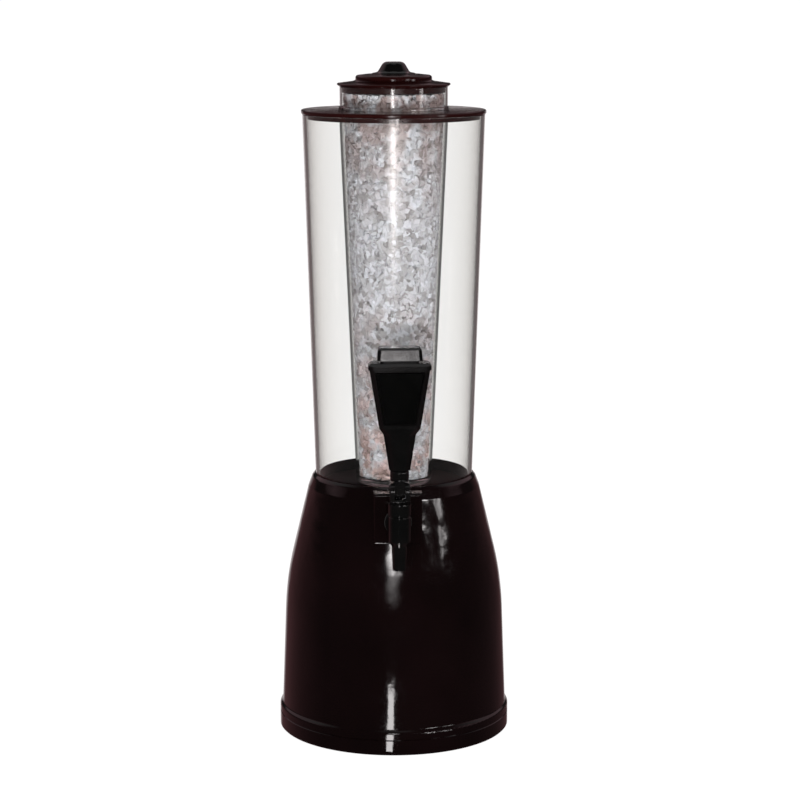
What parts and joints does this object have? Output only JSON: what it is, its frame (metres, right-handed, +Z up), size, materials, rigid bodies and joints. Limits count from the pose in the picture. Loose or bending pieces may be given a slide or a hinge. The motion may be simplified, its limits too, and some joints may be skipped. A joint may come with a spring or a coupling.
{
  "type": "drink tower dispenser",
  "caption": "Table drink tower: dark bell base with a lever tap, clear tapered tank under a ring lid, and a lift-out clear ice tube with a knobbed cap.",
  "frame": {"origin": "on the bell's axis, at the height of the table that the rubber ring rests on", "axes": "+Z up along the tower, -Y towards the tap and the person who pours, +X to that person's right"},
  "size_m": [0.18, 0.2043, 0.5201],
  "materials": {
    "oxblood_plastic": "high gloss moulded",
    "clear_acrylic": "clear, polished",
    "crushed_ice": "wet crushed ice",
    "black_plastic": "gloss moulded",
    "black_matte": "matte",
    "rubber": "matte",
    "steel": "brushed"
  },
  "bodies": {
    "base": {"base_shell": "oxblood_plastic", "foot_plate": "oxblood_plastic", "foot_ring": "rubber", "foot_screws": "steel", "reservoir_floor": "oxblood_plastic", "floor_screws": "steel", "tank_gasket": "rubber", "drink_tank": "clear_acrylic", "tap_body": "black_plastic", "tap_outer_washer": "rubber", "shank_spacer": "black_plastic", "tap_inner_washer": "rubber", "tap_jam_nut": "steel", "tap_bonnet": "black_plastic", "stem_seal": "rubber", "lever_pin": "steel"},
    "tap_lever": {"tap_lever": "black_plastic", "stem_pin": "steel", "tap_handle": "black_plastic", "handle_panel": "black_matte", "handle_cap": "black_plastic"},
    "valve_stem": {"valve_stem": "steel", "seat_plug": "rubber", "return_spring": "steel"},
    "lid": {"lid_ring": "oxblood_plastic"},
    "ice_tube": {"ice_tube": "clear_acrylic", "crushed_ice": "crushed_ice"},
    "ice_cap": {"ice_cap": "oxblood_plastic", "cap_knob": "black_plastic", "knob_screw": "steel"}
  },
  "joints": [
    {"name": "lever_pull", "type": "hinge", "parent": "base", "child": "tap_lever", "pos_m": [0, -0.108, 0.2095], "axis": [1, 0, 0], "range_deg": [0, 35], "stiffness_Nm_per_rad": 0.3, "springref_deg": -20.05},
    {"name": "stem_lift", "type": "slide", "parent": "base", "child": "valve_stem", "axis": [0, 0, 1], "range_m": [0, 0.00287], "deforming": ["return_spring"]},
    {"name": "lid_lift", "type": "slide", "parent": "base", "child": "lid", "axis": [0, 0, 1], "range_m": [0, 0.3]},
    {"name": "ice_tube_lift", "type": "slide", "parent": "lid", "child": "ice_tube", "axis": [0, 0, 1], "range_m": [0, 0.31]},
    {"name": "cap_lift", "type": "slide", "parent": "ice_tube", "child": "ice_cap", "axis": [0, 0, 1], "range_m": [0, 0.05]}
  ],
  "couplings": [
    {"joint": "stem_lift", "follows": "lever_pull", "m_per_rad": 0.0046948}
  ]
}
